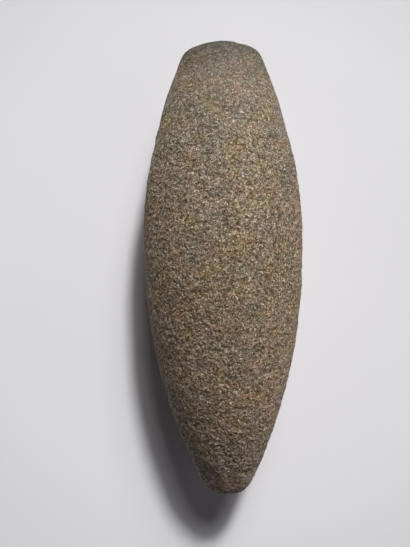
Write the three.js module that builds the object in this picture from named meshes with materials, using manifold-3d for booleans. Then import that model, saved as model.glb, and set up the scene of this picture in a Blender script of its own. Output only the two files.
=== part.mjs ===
// A polished stone axe head: one spindle-shaped stone, pecked all over and ground keen at one end.
// Millimetres, +Z up. It lies on its broad side, cutting edge towards +Y and butt towards -Y, and
// the origin is the middle of its underside, on the small flat that it rests on.
import * as THREE from 'three';
import { mergeVertices } from 'three/addons/utils/BufferGeometryUtils.js';
import Module from 'manifold-3d';

// The whole stone, before its facets are dressed off. Stations run along it from the cutting edge.
const LENGTH = 180.5;
const WIDTH = 63;
const THICKNESS = 53;
const WIDEST_STATION = 77;
const THICKEST_STATION = 90.5;

// The outline seen from above: each side bows from the widest station to a share of its half-width.
const BIT_SHARE = 0.425;
const BIT_BOW_POWER = 1.85;
const BUTT_SHARE = 0.23;
const BUTT_BOW_POWER = 2.25;
const CUTTING_ARC_RADIUS = 28.8;
const BIT_CORNER_BLEND = 3.2;
const BUTT_ARC_RADIUS = 27.3;
const BUTT_CORNER_BLEND = 7;

// The profile seen from the side: a keen wedge at the bit and a blunt round butt.
const WEDGE_POWER = 1.9;
const CUTTING_EDGE_RADIUS = 0.8;
const BUTT_THICKNESS_SHARE = 0.22;
const BUTT_TAPER_POWER = 3.1;
const BUTT_NOSE_RADIUS = 14;
const BUTT_NOSE_BLEND = 4;

// Behind this station the lens-shaped sections of the bit have filled out to ovals.
const OVAL_STATION = 34;
// Both ends stand this far to the right of the middle, because the stone is slightly bowed.
const END_LEAN = 0.4;

// Flat spots dressed on the stone: the way each faces, and how deep it is cut below the round.
const FACETS = {
  restingFlat: { facing: [0, 0, -1], depth: 0.8 },
  buttEnd: { facing: [0, -1, 0], depth: 0.5 },
  leftOfButt: { facing: [-0.52, -0.54, 0.66], depth: 1.2 },
  browOfButt: { facing: [0.15, -0.6, 0.79], depth: 0.8 },
};

const SIDES_ROUND = 60;
const RINGS_ALONG = 64;

// Half the size of a swelling body at reach 0, its fullest place, to 1, its end.
const swell = (half, endShare, power, reach) => half * (1 - (1 - endShare) * reach ** power);

// Half the chord of a rounded end, at a distance behind its tip.
const noseChord = (radius, distance) => Math.sqrt(2 * radius * Math.max(distance, 0));

// The lesser of two lengths, with the corner where they cross rounded over the blend.
const blendedLesser = (a, b, blend) => {
  const overlap = Math.max(blend - Math.abs(a - b), 0) / blend;
  return Math.min(a, b) - overlap * overlap * blend / 4;
};

// How far a station lies from the fullest place, as a share of the way to that end.
const reachOf = (station, fullest) => (station < fullest
  ? (fullest - station) / fullest
  : (station - fullest) / (LENGTH - fullest));

const halfWidth = (station) => {
  const reach = reachOf(station, WIDEST_STATION);
  if (station < WIDEST_STATION) {
    const side = swell(WIDTH / 2, BIT_SHARE, BIT_BOW_POWER, reach);
    return blendedLesser(side, noseChord(CUTTING_ARC_RADIUS, station), BIT_CORNER_BLEND);
  }
  const side = swell(WIDTH / 2, BUTT_SHARE, BUTT_BOW_POWER, reach);
  return blendedLesser(side, noseChord(BUTT_ARC_RADIUS, LENGTH - station), BUTT_CORNER_BLEND);
};

// The dulled edge's own share of the bit's half-thickness, which fades out behind the edge.
const edgeRounding = (station) => {
  const reach = reachOf(station, THICKEST_STATION);
  return noseChord(CUTTING_EDGE_RADIUS, station) * reach;
};

const halfThickness = (station) => {
  const reach = reachOf(station, THICKEST_STATION);
  if (station < THICKEST_STATION) {
    const wedge = swell(THICKNESS / 2, 0, WEDGE_POWER, reach);
    return Math.hypot(wedge, edgeRounding(station));
  }
  const side = swell(THICKNESS / 2, BUTT_THICKNESS_SHARE, BUTT_TAPER_POWER, reach);
  return blendedLesser(side, noseChord(BUTT_NOSE_RADIUS, LENGTH - station), BUTT_NOSE_BLEND);
};

// How oval a section is, from 0, a lens with keen sides, to 1. At the bit it keeps the dulled edge
// equally round all along the cutting arc.
const ovalness = (station) => {
  if (station <= 0 || station >= OVAL_STATION) {
    return 1;
  }
  const atBit = (edgeRounding(station) / halfThickness(station)) ** 2;
  return THREE.MathUtils.lerp(atBit, 1, THREE.MathUtils.smoothstep(station, 0, OVAL_STATION));
};

const sectionPoint = (station, angle) => {
  const rise = Math.sin(angle);
  const oval = ovalness(station);
  const lean = END_LEAN * (1 - Math.sin(Math.PI * station / LENGTH));
  return new THREE.Vector3(
    halfWidth(station) * Math.cos(angle) + lean,
    LENGTH / 2 - station,
    halfThickness(station) * rise * Math.sqrt(oval + (1 - oval) * rise * rise),
  );
};

// The blank is a sphere whose poles are drawn out to the cutting edge and the butt.
const shapedStone = () => {
  const sphere = new THREE.SphereGeometry(1, SIDES_ROUND, RINGS_ALONG);
  sphere.deleteAttribute('normal');
  sphere.deleteAttribute('uv');
  const position = sphere.getAttribute('position');
  for (let i = 0; i < position.count; i += 1) {
    const station = LENGTH * (1 - position.getY(i)) / 2;
    const angle = Math.atan2(position.getZ(i), position.getX(i));
    position.setXYZ(i, ...sectionPoint(station, angle));
  }
  return mergeVertices(sphere);
};

const wasm = await Module();
wasm.setup();

const toSolid = (geometry) => new wasm.Manifold(new wasm.Mesh({
  numProp: 3,
  vertProperties: new Float32Array(geometry.getAttribute('position').array),
  triVerts: new Uint32Array(geometry.getIndex().array),
}));

const toGeometry = (solid) => {
  const mesh = solid.getMesh();
  const geometry = new THREE.BufferGeometry();
  geometry.setAttribute('position', new THREE.BufferAttribute(mesh.vertProperties, 3));
  geometry.setIndex(new THREE.BufferAttribute(mesh.triVerts, 1));
  return geometry;
};

// A block whose near face lies square to a direction, at a distance from the origin.
const blockBeyond = (direction, distance) => {
  const block = new THREE.BoxGeometry(LENGTH, LENGTH, LENGTH);
  block.deleteAttribute('normal');
  block.deleteAttribute('uv');
  block.translate(0, 0, LENGTH / 2 + distance);
  const turn = new THREE.Quaternion().setFromUnitVectors(new THREE.Vector3(0, 0, 1), direction);
  block.applyQuaternion(turn);
  return mergeVertices(block);
};

const furthestAlong = (geometry, direction) => {
  const position = geometry.getAttribute('position');
  const point = new THREE.Vector3();
  let furthest = -Infinity;
  for (let i = 0; i < position.count; i += 1) {
    furthest = Math.max(furthest, point.fromBufferAttribute(position, i).dot(direction));
  }
  return furthest;
};

const dressedStone = () => {
  const round = shapedStone();
  let stone = toSolid(round);
  for (const { facing, depth } of Object.values(FACETS)) {
    const direction = new THREE.Vector3(...facing).normalize();
    const face = furthestAlong(round, direction) - depth;
    stone = stone.subtract(toSolid(blockBeyond(direction, face)));
  }
  return toGeometry(stone);
};

// The stone is set down with the middle of its underside at the origin.
const setDown = (geometry) => {
  geometry.computeBoundingBox();
  const centre = geometry.boundingBox.getCenter(new THREE.Vector3());
  geometry.translate(-centre.x, -centre.y, -geometry.boundingBox.min.z);
  geometry.computeVertexNormals();
  return geometry;
};

const granularStone = new THREE.MeshStandardMaterial({
  name: 'granular stone',
  color: 0x85765f,
  roughness: 0.85,
  metalness: 0,
});

const axeHead = new THREE.Mesh(setDown(dressedStone()), granularStone);
axeHead.name = 'axe_head';

const part = new THREE.Group();
part.name = 'polished stone axe head';
part.add(axeHead);

export default part;
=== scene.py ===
"""A polished stone axe head: one spindle-shaped stone, pecked all over and ground keen at the bit.

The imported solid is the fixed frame. The stone is modelled over it as one fine mesh with the
pecked surface cut into it, and it is given a granular stone finish.
"""

import math

import bpy
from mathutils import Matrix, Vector


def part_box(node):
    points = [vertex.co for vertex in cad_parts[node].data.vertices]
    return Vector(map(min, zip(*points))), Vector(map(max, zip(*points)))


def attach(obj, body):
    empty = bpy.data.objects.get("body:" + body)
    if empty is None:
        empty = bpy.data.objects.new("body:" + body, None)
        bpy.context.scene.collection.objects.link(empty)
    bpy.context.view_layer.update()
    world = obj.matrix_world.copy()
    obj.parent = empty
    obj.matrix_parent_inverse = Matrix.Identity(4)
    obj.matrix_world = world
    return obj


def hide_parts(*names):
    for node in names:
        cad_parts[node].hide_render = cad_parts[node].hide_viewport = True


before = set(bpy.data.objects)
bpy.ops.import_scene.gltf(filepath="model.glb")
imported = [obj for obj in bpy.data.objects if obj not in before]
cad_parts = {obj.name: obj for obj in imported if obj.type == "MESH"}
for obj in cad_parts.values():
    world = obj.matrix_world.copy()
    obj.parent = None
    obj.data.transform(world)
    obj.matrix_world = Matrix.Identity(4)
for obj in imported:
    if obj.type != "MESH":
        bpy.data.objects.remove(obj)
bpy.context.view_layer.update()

MM = 0.001
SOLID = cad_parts["axe_head"]
LOW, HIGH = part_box("axe_head")
CENTRE = (LOW + HIGH) / 2

# The form of the whole stone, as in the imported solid. Stations run from the cutting edge.
LENGTH = 180.5 * MM
HALF_WIDTH = 31.5 * MM
HALF_THICKNESS = 26.5 * MM
WIDEST_STATION = 77 * MM
THICKEST_STATION = 90.5 * MM
MID_HEIGHT = HIGH.z - HALF_THICKNESS

# The outline seen from above: each side bows from the widest station to a share of its half-width.
BIT_SHARE = 0.425
BIT_BOW_POWER = 1.85
BUTT_SHARE = 0.23
BUTT_BOW_POWER = 2.25
CUTTING_ARC_RADIUS = 28.8 * MM
BIT_CORNER_BLEND = 3.2 * MM
BUTT_ARC_RADIUS = 27.3 * MM
BUTT_CORNER_BLEND = 7 * MM

# The profile seen from the side: a keen wedge at the bit and a blunt round butt.
WEDGE_POWER = 1.9
CUTTING_EDGE_RADIUS = 0.8 * MM
BUTT_THICKNESS_SHARE = 0.22
BUTT_TAPER_POWER = 3.1
BUTT_NOSE_RADIUS = 14 * MM
BUTT_NOSE_BLEND = 4 * MM

# As far back as this station the stone is pressed on to the solid's lens-shaped bit.
OVAL_STATION = 34 * MM
# Both ends stand this far to the right of the middle, because the stone is slightly bowed.
END_LEAN = 0.4 * MM

# The flat spots dressed on the stone: the way each faces, and its depth below the round.
FACETS = {
    "resting flat": ((0, 0, -1), 0.8 * MM),
    "butt end": ((0, -1, 0), 0.5 * MM),
    "left of the butt": ((-0.52, -0.54, 0.66), 1.2 * MM),
    "brow of the butt": ((0.15, -0.6, 0.79), 0.8 * MM),
}

# Two small chips in the cutting edge: the middle of each scoop, and its half-size each way.
EDGE_CHIPS = (
    (Vector((9.0, 91.0, 26.2)) * MM, Vector((4.4, 2.4, 3.0)) * MM),
    (Vector((5.2, 91.1, 26.6)) * MM, Vector((1.3, 1.6, 2.0)) * MM),
)
# A short low step across the brow of the butt, struck by light blows side by side.
STEP_Y = -80.2
STEP_BLOWS_X_Z = ((3.2, 38.5), (5.4, 37.8), (7.6, 36.6), (9.3, 35.3))
STEP_HALF_SIZE = Vector((2.2, 1.8, 1.1)) * MM
STEP_CHIPS = tuple((Vector((x, STEP_Y, z)) * MM, STEP_HALF_SIZE) for x, z in STEP_BLOWS_X_Z)

# The worked surface. Each layer of relief has its name, the kind and grain of its noise, the part
# of the stone it works on, its depth, and the level of the noise that leaves the surface as it was.
# A depth below nothing turns the noise over.
FINEST_DETAIL = 0.62 * MM
WAVES = (
    ("uneven faces", "CLOUDS", 17 * MM, "off the rest", 0.9 * MM, 0.5),
    ("lumps", "CLOUDS", 6 * MM, "pecked", 0.4 * MM, 0.5),
)
PECKING = (
    ("pits", "VORONOI", 2.3 * MM, "pecked", 0.42 * MM, 0.45),
    ("grain", "VORONOI", 1.3 * MM, "pecked", -0.30 * MM, 0.45),
)
# A pecked hollow this deep gets the full darkening.
FULL_HOLLOW_DEPTH = 0.13 * MM

# The share of the pecking that grinding left on the bit, and the stations it grows back between.
PECKING_LEFT_ON_BIT = 0.12
BIT_FADE = (6 * MM, 44 * MM)
# The share of the pecking that is worn from the butt, and the stations it goes between.
PECKING_LOST_AT_BUTT = 0.4
BUTT_FADE = (160 * MM, 172 * MM)
# All relief grows from nothing at the first height above the floor to its full depth at the next.
REST_FADE = (0.15 * MM, 2.5 * MM)

# The stone's grain, in millimetres: how wide the minerals are, and how far their edges wander.
CRYSTAL_WIDTH = 0.60
GROUNDMASS_WIDTH = 0.32
EDGE_WANDER = 1.1
# The grit that is finer than the mesh: the height from the lowest to the highest of its noise.
GRIT_HEIGHT = 1.05 * MM
# The even tone that grinding gives the bit, where single grains show less.
GROUND_TONE = (0.245, 0.190, 0.125, 1.0)

# The floor is in metres. The painted pool of light on its paper fades between these distances from the
# middle, in millimetres.
FLOOR_SIZE = 6
PAPER_PAINTED_FALLOFF = (40.0, 160.0)

# Light, in metres and degrees. The main light comes from beyond the bit and a little to the right.
MAIN_WAY = (0.324, 1.004, 1.0)
MAIN_DISTANCE = 7
FILL_DISTANCE = 3
FILL_SPREAD = 60
FILL_COLOR = (0.97, 0.94, 1.05)

# The camera looks straight down on the stone. Its place is in metres, its turn in degrees.
CAMERA_PLACE = (-0.0074, -0.0028, 0.315)
CAMERA_TURN = -0.775
LENS = 47.65
SENSOR = 36


# ---------------------------------------------------------------- modelling helpers


def start_clean():
    """Leaves edit mode with nothing selected, so that an operator acts on the new piece alone."""
    if bpy.context.mode != "OBJECT":
        bpy.ops.object.mode_set(mode="OBJECT")
    bpy.ops.object.select_all(action="DESELECT")


def take_up(piece):
    """Makes this the one piece that operators act on."""
    start_clean()
    piece.select_set(True)
    bpy.context.view_layer.objects.active = piece


def pick_vertices(piece, wanted):
    """In edit mode, selects just the vertices whose place the test wants."""
    bpy.ops.mesh.select_mode(type="VERT")
    bpy.ops.mesh.select_all(action="DESELECT")
    bpy.ops.object.mode_set(mode="OBJECT")
    for vertex in piece.data.vertices:
        vertex.select = wanted(vertex.co)
    bpy.ops.object.mode_set(mode="EDIT")


def add_modifier(piece, kind, name, **settings):
    modifier = piece.modifiers.new(name, kind)
    for key, value in settings.items():
        setattr(modifier, key, value)
    bpy.ops.object.modifier_apply(modifier=modifier.name)


def vertex_group(piece, name, weight_at):
    """Names a share, from 0 to 1, of each vertex by its place."""
    group = piece.vertex_groups.new(name=name)
    for vertex in piece.data.vertices:
        weight = weight_at(vertex.co)
        if weight > 0:
            group.add([vertex.index], weight, "REPLACE")


# ---------------------------------------------------------------- the stone's form


def swell(half, end_share, power, reach):
    """Half the size of a swelling body at reach 0, its fullest place, to 1, its end."""
    return half * (1 - (1 - end_share) * reach**power)


def nose_chord(radius, distance):
    """Half the chord of a rounded end, at a distance behind its tip."""
    return math.sqrt(2 * radius * max(distance, 0))


def blended_lesser(a, b, blend):
    """The lesser of two lengths, with the corner where they cross rounded over the blend."""
    overlap = max(blend - abs(a - b), 0) / blend
    return min(a, b) - overlap * overlap * blend / 4


def reach_of(station, fullest):
    """How far a station lies from the fullest place, as a share of the way to that end."""
    if station < fullest:
        return (fullest - station) / fullest
    return (station - fullest) / (LENGTH - fullest)


def half_width(station):
    """Half the stone's width at a station, rounded off at both ends."""
    reach = reach_of(station, WIDEST_STATION)
    if station < WIDEST_STATION:
        side = swell(HALF_WIDTH, BIT_SHARE, BIT_BOW_POWER, reach)
        return blended_lesser(side, nose_chord(CUTTING_ARC_RADIUS, station), BIT_CORNER_BLEND)
    side = swell(HALF_WIDTH, BUTT_SHARE, BUTT_BOW_POWER, reach)
    return blended_lesser(side, nose_chord(BUTT_ARC_RADIUS, LENGTH - station), BUTT_CORNER_BLEND)


def half_thickness(station):
    """Half the stone's thickness at a station, from the dulled edge to the blunt nose."""
    reach = reach_of(station, THICKEST_STATION)
    if station < THICKEST_STATION:
        wedge = swell(HALF_THICKNESS, 0, WEDGE_POWER, reach)
        return math.hypot(wedge, nose_chord(CUTTING_EDGE_RADIUS, station) * reach)
    side = swell(HALF_THICKNESS, BUTT_THICKNESS_SHARE, BUTT_TAPER_POWER, reach)
    return blended_lesser(side, nose_chord(BUTT_NOSE_RADIUS, LENGTH - station), BUTT_NOSE_BLEND)


def station_at(y):
    return HIGH.y - y


def shape_rings(stone):
    """Scales each ring of the blank to the stone's width and thickness at its station."""
    too_small = 0.001 * MM
    rings = {}
    for vertex in stone.data.vertices:
        rings.setdefault(round(vertex.co.y / MM, 3), []).append(vertex.co.copy())
    for _, points in sorted(rings.items()):
        across = max(p.x for p in points) - min(p.x for p in points)
        if across < too_small:
            continue
        upright = max(p.z for p in points) - min(p.z for p in points)
        y = points[0].y
        station = station_at(y)
        lean = END_LEAN * (1 - math.sin(math.pi * station / LENGTH))
        pick_vertices(stone, lambda co, y=y: abs(co.y - y) < too_small)
        bpy.ops.transform.resize(
            value=(2 * half_width(station) / across, 1, 2 * half_thickness(station) / upright),
            center_override=(0, y, MID_HEIGHT),
        )
        bpy.ops.transform.translate(value=(lean, 0, 0))


def dress_flats(stone):
    """Cuts each flat spot square to the way it faces, at its depth below the stone's furthest point."""
    for facing, depth in FACETS.values():
        direction = Vector(facing).normalized()
        furthest = max(vertex.co.dot(direction) for vertex in stone.data.vertices)
        bpy.ops.object.mode_set(mode="EDIT")
        bpy.ops.mesh.select_all(action="SELECT")
        bpy.ops.mesh.bisect(
            plane_co=direction * (furthest - depth),
            plane_no=direction,
            clear_outer=True,
            use_fill=True,
        )
        bpy.ops.object.mode_set(mode="OBJECT")


def stone_form():
    """The smooth stone: a ball drawn out ring by ring, pressed on to the solid's bit, and dressed."""
    start_clean()
    bpy.ops.mesh.primitive_uv_sphere_add(
        segments=60,
        ring_count=64,
        radius=LENGTH / 2,
        location=(0, HIGH.y - LENGTH / 2, MID_HEIGHT),
        rotation=(math.radians(-90), 0, 0),
    )
    stone = bpy.context.object
    stone.name = "axe_stone"
    bpy.ops.object.transform_apply(location=True, rotation=True, scale=True)
    bpy.ops.object.mode_set(mode="EDIT")
    shape_rings(stone)
    bpy.ops.object.mode_set(mode="OBJECT")
    vertex_group(stone, "bit", lambda co: float(station_at(co.y) < OVAL_STATION))
    add_modifier(stone, "SHRINKWRAP", "press on to the bit", target=SOLID, vertex_group="bit")
    add_modifier(stone, "SUBSURF", "smooth", levels=2, render_levels=2)
    dress_flats(stone)
    return stone


def strike_chips(stone):
    """Scoops each scar out of the stone with a ball of its size."""
    for middle, half_size in EDGE_CHIPS + STEP_CHIPS:
        start_clean()
        bpy.ops.mesh.primitive_ico_sphere_add(subdivisions=4, radius=1, location=middle)
        scoop = bpy.context.object
        bpy.ops.object.mode_set(mode="EDIT")
        bpy.ops.transform.resize(value=half_size, center_override=middle)
        take_up(stone)
        add_modifier(stone, "BOOLEAN", "chip", object=scoop, operation="DIFFERENCE", solver="EXACT")
        bpy.data.objects.remove(scoop)


# ---------------------------------------------------------------- the worked surface


def smooth_step(value, start, end):
    """0 up to the start, 1 from the end on, and an easy curve between them."""
    share = min(max((value - start) / (end - start), 0), 1)
    return share * share * (3 - 2 * share)


def off_the_rest(co):
    """How much relief the height above the resting flat allows."""
    return smooth_step(co.z, *REST_FADE)


def hammered(co):
    """How much pecking shows: little on the ground bit, less at the butt, none on the resting flat."""
    station = station_at(co.y)
    behind_bit = PECKING_LEFT_ON_BIT + (1 - PECKING_LEFT_ON_BIT) * smooth_step(station, *BIT_FADE)
    before_butt = 1 - PECKING_LOST_AT_BUTT * smooth_step(station, *BUTT_FADE)
    return behind_bit * before_butt * off_the_rest(co)


def roughen(stone, name, kind, grain, group, depth, still_level):
    """Raises and lowers the surface by a noise, by up to the depth between its high and low."""
    texture = bpy.data.textures.new(name, kind)
    texture.noise_scale = grain
    add_modifier(
        stone,
        "DISPLACE",
        name,
        texture=texture,
        texture_coords="LOCAL",
        direction="NORMAL",
        strength=depth,
        mid_level=still_level,
        vertex_group=group,
    )


def keep_hollows(stone, places, normals):
    """Keeps how far each vertex has sunk since it had this place and normal, for the darkening in the
    hollows.
    """
    hollow = stone.data.attributes.new("hollow", "FLOAT", "POINT")
    for vertex, before, normal in zip(stone.data.vertices, places, normals):
        hollow.data[vertex.index].value = (before - vertex.co).dot(normal) / FULL_HOLLOW_DEPTH


def work_surface(stone):
    """Gives the stone its chips, its uneven faces, its pecked pits and its grain."""
    strike_chips(stone)
    add_modifier(stone, "REMESH", "even mesh", mode="VOXEL", voxel_size=FINEST_DETAIL)
    vertex_group(stone, "off the rest", off_the_rest)
    vertex_group(stone, "pecked", hammered)
    for layer in WAVES:
        roughen(stone, *layer)
    places = [vertex.co.copy() for vertex in stone.data.vertices]
    normals = [vertex.normal.copy() for vertex in stone.data.vertices]
    for layer in PECKING:
        roughen(stone, *layer)
    keep_hollows(stone, places, normals)

    # What has sunk below the floor is pressed flat on to it.
    bpy.ops.object.mode_set(mode="EDIT")
    pick_vertices(stone, lambda co: co.z < 0)
    bpy.ops.transform.resize(value=(1, 1, 0), center_override=(0, 0, 0))
    take_up(stone)
    bpy.ops.object.shade_smooth()


# ---------------------------------------------------------------- shader helpers


def add_node(tree, kind, inputs=None, **settings):
    """A shader node with its settings, and each input joined to another node or given its value."""
    node = tree.nodes.new(kind)
    for key, value in settings.items():
        setattr(node, key, value)
    for socket, value in (inputs or {}).items():
        if isinstance(value, bpy.types.NodeSocket):
            tree.links.new(value, node.inputs[socket])
        else:
            node.inputs[socket].default_value = value
    return node


def tone_ramp(tree, source, stops, interpolation="LINEAR"):
    """Colours by a value from 0 to 1. Each stop is its place and its colour or grey."""
    node = add_node(tree, "ShaderNodeValToRGB", {"Fac": source})
    ramp = node.color_ramp
    ramp.interpolation = interpolation
    while len(ramp.elements) < len(stops):
        ramp.elements.new(1)
    for element, (place, color) in zip(ramp.elements, stops):
        element.position = place
        element.color = (*color, 1) if isinstance(color, tuple) else (color, color, color, 1)
    return node.outputs["Color"]


def mixed(tree, share, first, second, blend="MIX"):
    """Lays the second colour over the first, by the share."""
    node = add_node(
        tree, "ShaderNodeMix", {"Factor": share, 6: first, 7: second}, data_type="RGBA", blend_type=blend
    )
    return node.outputs[2]


def tinted(tree, color, tint):
    """Multiplies the colour by the tint."""
    return mixed(tree, 1.0, color, tint, "MULTIPLY")


def place_in_mm(tree):
    """The place on the piece in millimetres, so that each texture's scale is in grains to the mm."""
    place = add_node(tree, "ShaderNodeTexCoord").outputs["Object"]
    scaled = add_node(tree, "ShaderNodeVectorMath", {0: place, "Scale": 1 / MM}, operation="SCALE")
    return scaled.outputs["Vector"]


def shifted(tree, place, amount):
    """Moves the place, so that two textures of one kind don't line up."""
    moved = add_node(tree, "ShaderNodeVectorMath", {0: place, 1: amount}, operation="ADD")
    return moved.outputs["Vector"]


def share_between(tree, value, start, end):
    """0 where the value is the start, and 1 where it is the end."""
    spread = add_node(
        tree, "ShaderNodeMapRange", {"Value": value, "From Min": start, "From Max": end}
    )
    return spread.outputs["Result"]


def noise(tree, place, scale, detail):
    return add_node(
        tree, "ShaderNodeTexNoise", {"Vector": place, "Scale": scale, "Detail": detail}
    )


def grain_cells(tree, place, width, feature="F1"):
    """Mineral grains: a voronoi node whose cells are the width across, in mm."""
    return add_node(
        tree, "ShaderNodeTexVoronoi", {"Vector": place, "Scale": 1 / width}, feature=feature
    )


def part_of(tree, color, channel):
    """One channel of a cell's own random colour."""
    return add_node(tree, "ShaderNodeSeparateColor", {"Color": color}).outputs[channel]


def new_material(name):
    material = bpy.data.materials.new(name)
    material.use_nodes = True
    tree = material.node_tree
    return material, tree, tree.nodes["Principled BSDF"]


# ---------------------------------------------------------------- granular stone


def wandering(tree, place):
    """The place pushed about by a fine noise, so that the grains have crooked edges."""
    push = add_node(
        tree,
        "ShaderNodeVectorMath",
        {0: noise(tree, place, 0.9, 2.0).outputs["Color"], 1: (0.5, 0.5, 0.5)},
        operation="SUBTRACT",
    ).outputs["Vector"]
    reach = (EDGE_WANDER, EDGE_WANDER, EDGE_WANDER)
    crooked = add_node(
        tree, "ShaderNodeVectorMath", {0: push, 1: reach, 2: place}, operation="MULTIPLY_ADD"
    )
    return crooked.outputs["Vector"]


def mineral_grains(tree, place):
    """Dark, brown and tan crystals, some of them broken up into a finer groundmass, and dark seams."""
    crooked = wandering(tree, place)
    crystals = grain_cells(tree, crooked, CRYSTAL_WIDTH).outputs["Color"]
    groundmass = grain_cells(tree, shifted(tree, crooked, (37, 11, 5)), GROUNDMASS_WIDTH)
    crystal_color = tone_ramp(
        tree,
        part_of(tree, crystals, "Red"),
        [
            (0.0, (0.066, 0.040, 0.018)),
            (0.25, (0.150, 0.103, 0.059)),
            (0.50, (0.262, 0.200, 0.129)),
            (0.80, (0.396, 0.327, 0.242)),
            (0.95, (0.456, 0.388, 0.306)),
            (1.0, (0.610, 0.560, 0.480)),
        ],
    )
    groundmass_color = tone_ramp(
        tree,
        part_of(tree, groundmass.outputs["Color"], "Green"),
        [
            (0.0, (0.066, 0.040, 0.018)),
            (0.40, (0.190, 0.135, 0.080)),
            (0.80, (0.353, 0.285, 0.203)),
            (1.0, (0.505, 0.436, 0.348)),
        ],
    )
    is_crystal = tone_ramp(tree, part_of(tree, crystals, "Blue"), [(0.36, 0.0), (0.44, 1.0)])
    color = mixed(tree, is_crystal, groundmass_color, crystal_color)
    seam = grain_cells(tree, crooked, CRYSTAL_WIDTH, "DISTANCE_TO_EDGE").outputs["Distance"]
    seams = tone_ramp(tree, seam, [(0.0, (0.43, 0.355, 0.265)), (0.10, 0.90), (0.22, 1.12)])
    return tinted(tree, color, seams)


def stains(tree, place):
    """Slow drifts of tone: blue-grey to ochre, and greenish to reddish."""
    ochre = tone_ramp(
        tree,
        noise(tree, place, 0.15, 3.0).outputs["Fac"],
        [(0.30, (0.885, 0.955, 1.05)), (0.50, (1.0, 1.0, 1.0)), (0.70, (1.12, 1.05, 0.825))],
    )
    blush = tone_ramp(
        tree,
        noise(tree, shifted(tree, place, (9, 4, 31)), 0.17, 3.0).outputs["Fac"],
        [(0.30, (0.90, 0.985, 0.91)), (0.50, (1.0, 1.0, 1.0)), (0.70, (1.12, 1.015, 1.065))],
    )
    return tinted(tree, ochre, blush)


def wear_and_painted_light_along(tree, station):
    """The tone from the cutting edge to the butt, partly real and partly painted: dark and grey at the
    ground edge, pale behind the bit partly as a painted sheen, with painted light and shade along the
    length and painted shade on the butt's end.
    """
    return tone_ramp(
        tree,
        station,
        [
            (0.0, (0.28, 0.31, 0.31)),
            (0.034, (0.55, 0.56, 0.57)),
            (0.06, (0.79, 0.79, 0.81)),
            (0.12, (0.95, 0.97, 0.98)),
            (0.22, (1.13, 1.16, 1.19)),
            (0.36, (1.18, 1.16, 1.15)),
            (0.45, (1.17, 1.13, 1.09)),
            (0.55, (1.065, 1.015, 0.95)),
            (0.68, (1.02, 0.97, 0.925)),
            (0.74, (1.07, 1.01, 0.975)),
            (0.80, (1.055, 0.995, 0.965)),
            (0.92, (0.84, 0.81, 0.835)),
            (0.945, (1.02, 0.97, 1.00)),
            (0.96, (1.26, 1.19, 1.22)),
            (0.973, (1.38, 1.29, 1.34)),
            (0.98, (1.04, 0.95, 1.03)),
            (0.99, (0.86, 0.77, 0.87)),
            (1.0, (0.84, 0.74, 0.85)),
        ],
    )


def painted_light_and_shade_across(tree, station, across):
    """Painted light and shade from the left side to the right, which differs between the bit and the
    butt.
    """
    bit_half = tone_ramp(
        tree, across, [(0.0, 0.98), (0.2, 0.92), (0.4, 0.98), (0.65, 1.08), (0.85, 0.90)]
    )
    butt_half = tone_ramp(
        tree, across, [(0.0, 0.94), (0.2, 0.89), (0.5, 0.95), (0.75, 1.08), (0.9, 1.18)]
    )
    is_butt_half = tone_ramp(tree, station, [(0.35, 0.0), (0.75, 1.0)])
    return mixed(tree, is_butt_half, bit_half, butt_half)


def hollow_tone(tree):
    """Pale on the high spots and dark in the hollows."""
    hollow = add_node(tree, "ShaderNodeAttribute", attribute_name="hollow").outputs["Fac"]
    depth = share_between(tree, hollow, -1.0, 1.0)
    return tone_ramp(tree, depth, [(0.2, 1.08), (0.5, 1.02), (0.9, 0.84)])


def grit(tree, place, station):
    """Fine relief below the mesh's detail, nearly ground away at the bit."""
    roughness = tone_ramp(tree, station, [(0.03, 0.15), (0.24, 1.0)])
    height = noise(tree, place, 0.8, 2.0).outputs["Fac"]
    bump = add_node(
        tree, "ShaderNodeBump", {"Height": height, "Strength": roughness, "Distance": GRIT_HEIGHT}
    )
    return bump.outputs["Normal"]


def granular_stone():
    """Brown-grey igneous rock: dark, brown and tan grains in a finer groundmass, ground at the bit."""
    material, tree, shader = new_material("granular stone")
    place = place_in_mm(tree)
    axes = add_node(tree, "ShaderNodeSeparateXYZ", {"Vector": place})
    station = share_between(tree, axes.outputs["Y"], HIGH.y / MM, LOW.y / MM)
    across = share_between(tree, axes.outputs["X"], LOW.x / MM, HIGH.x / MM)

    ground = tone_ramp(tree, station, [(0.05, 0.14), (0.25, 0.0)])
    color = mixed(tree, ground, mineral_grains(tree, place), GROUND_TONE)
    color = tinted(tree, color, stains(tree, place))
    # Grey ground edge, with a painted sheen behind the bit and painted light and shade along the stone.
    color = tinted(tree, color, wear_and_painted_light_along(tree, station))
    # Painted light and shade across the stone: lighter and darker bands from the left side to the right.
    color = tinted(tree, color, painted_light_and_shade_across(tree, station, across))
    # Darker in the pecked hollows and paler on the high spots.
    color = tinted(tree, color, hollow_tone(tree))
    gloss = tone_ramp(tree, station, [(0.0, 0.68), (0.10, 0.74), (0.25, 0.88)])

    tree.links.new(color, shader.inputs["Base Color"])
    tree.links.new(gloss, shader.inputs["Roughness"])
    tree.links.new(grit(tree, place, station), shader.inputs["Normal"])
    shader.inputs["Diffuse Roughness"].default_value = 0.15
    return material


# ---------------------------------------------------------------- floor, light and camera


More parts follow.
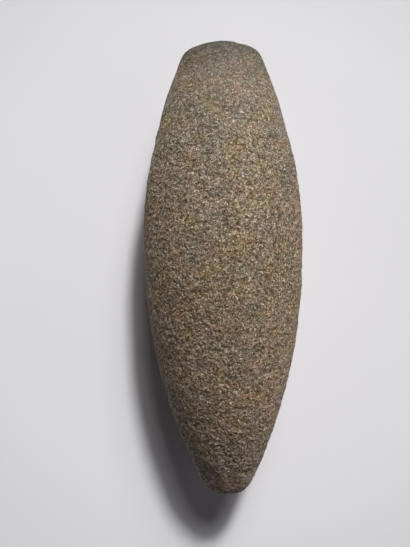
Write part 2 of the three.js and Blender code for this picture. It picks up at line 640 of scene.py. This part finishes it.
def pale_paper():
    """Plain card with a faint unevenness in its tone, and a painted pool of light: a little darker away
    from the stone.
    """
    material, tree, shader = new_material("pale paper")
    place = place_in_mm(tree)
    tone = tone_ramp(
        tree,
        noise(tree, place, 0.012, 4.0).outputs["Fac"],
        [(0.3, (0.855, 0.845, 0.870)), (0.7, (0.872, 0.862, 0.887))],
    )
    reach = add_node(tree, "ShaderNodeVectorMath", {0: place}, operation="LENGTH").outputs["Value"]
    away = share_between(tree, reach, *PAPER_PAINTED_FALLOFF)
    # Painted pool of light: the paper is a little darker away from the stone.
    painted_falloff = tone_ramp(tree, away, [(0.0, 1.02), (0.5, 1.0), (1.0, 0.91)], "EASE")
    tree.links.new(tinted(tree, tone, painted_falloff), shader.inputs["Base Color"])
    shader.inputs["Roughness"].default_value = 0.9
    return material


def softbox(name, way, distance, spread, energy, color=(1, 1, 1)):
    """A round lamp that faces the stone from the given way, as wide as the angle it fills."""
    way = Vector(way).normalized()
    bpy.ops.object.light_add(type="AREA", location=CENTRE + way * distance)
    lamp = bpy.context.object
    lamp.name = name
    lamp.data.shape = "DISK"
    lamp.data.size = 2 * distance * math.tan(math.radians(spread / 2))
    lamp.data.energy = energy
    lamp.data.color = color
    lamp.rotation_euler = (-way).to_track_quat("-Z", "Y").to_euler()


def room_light():
    """The light of the room: pale low down, like a white wall far off, and dim above."""
    world = bpy.data.worlds.new("soft room light")
    world.use_nodes = True
    tree = world.node_tree
    way = add_node(tree, "ShaderNodeTexCoord").outputs["Generated"]
    height = add_node(tree, "ShaderNodeSeparateXYZ", {"Vector": way}).outputs["Z"]
    glow = tone_ramp(tree, height, [(0.12, (0.437, 0.418, 0.481)), (0.24, (0.0145, 0.0135, 0.0165))])
    tree.links.new(glow, tree.nodes["Background"].inputs["Color"])
    bpy.context.scene.world = world


# ---------------------------------------------------------------- the finished scene

stone = stone_form()
work_surface(stone)
stone.data.materials.append(granular_stone())
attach(stone, "root")
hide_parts("axe_head")

start_clean()
bpy.ops.mesh.primitive_plane_add(size=FLOOR_SIZE, location=(0, 0, 0))
floor = bpy.context.object
floor.name = "paper_floor"
floor.data.materials.append(pale_paper())

softbox("main softbox", MAIN_WAY, MAIN_DISTANCE, 8, 350)
softbox("wide softbox", MAIN_WAY, FILL_DISTANCE, 27, 38)
softbox("side fill", (1.0, 0.0, 0.5), FILL_DISTANCE, FILL_SPREAD, 5, FILL_COLOR)
softbox("near fill", (0.0, -1.0, 0.5), FILL_DISTANCE, FILL_SPREAD, 1.4, FILL_COLOR)
room_light()

bpy.ops.object.camera_add(location=CAMERA_PLACE, rotation=(0, 0, math.radians(CAMERA_TURN)))
camera = bpy.context.object
camera.data.lens = LENS
camera.data.sensor_width = SENSOR
bpy.context.scene.camera = camera
bpy.context.scene.view_settings.view_transform = "Standard"
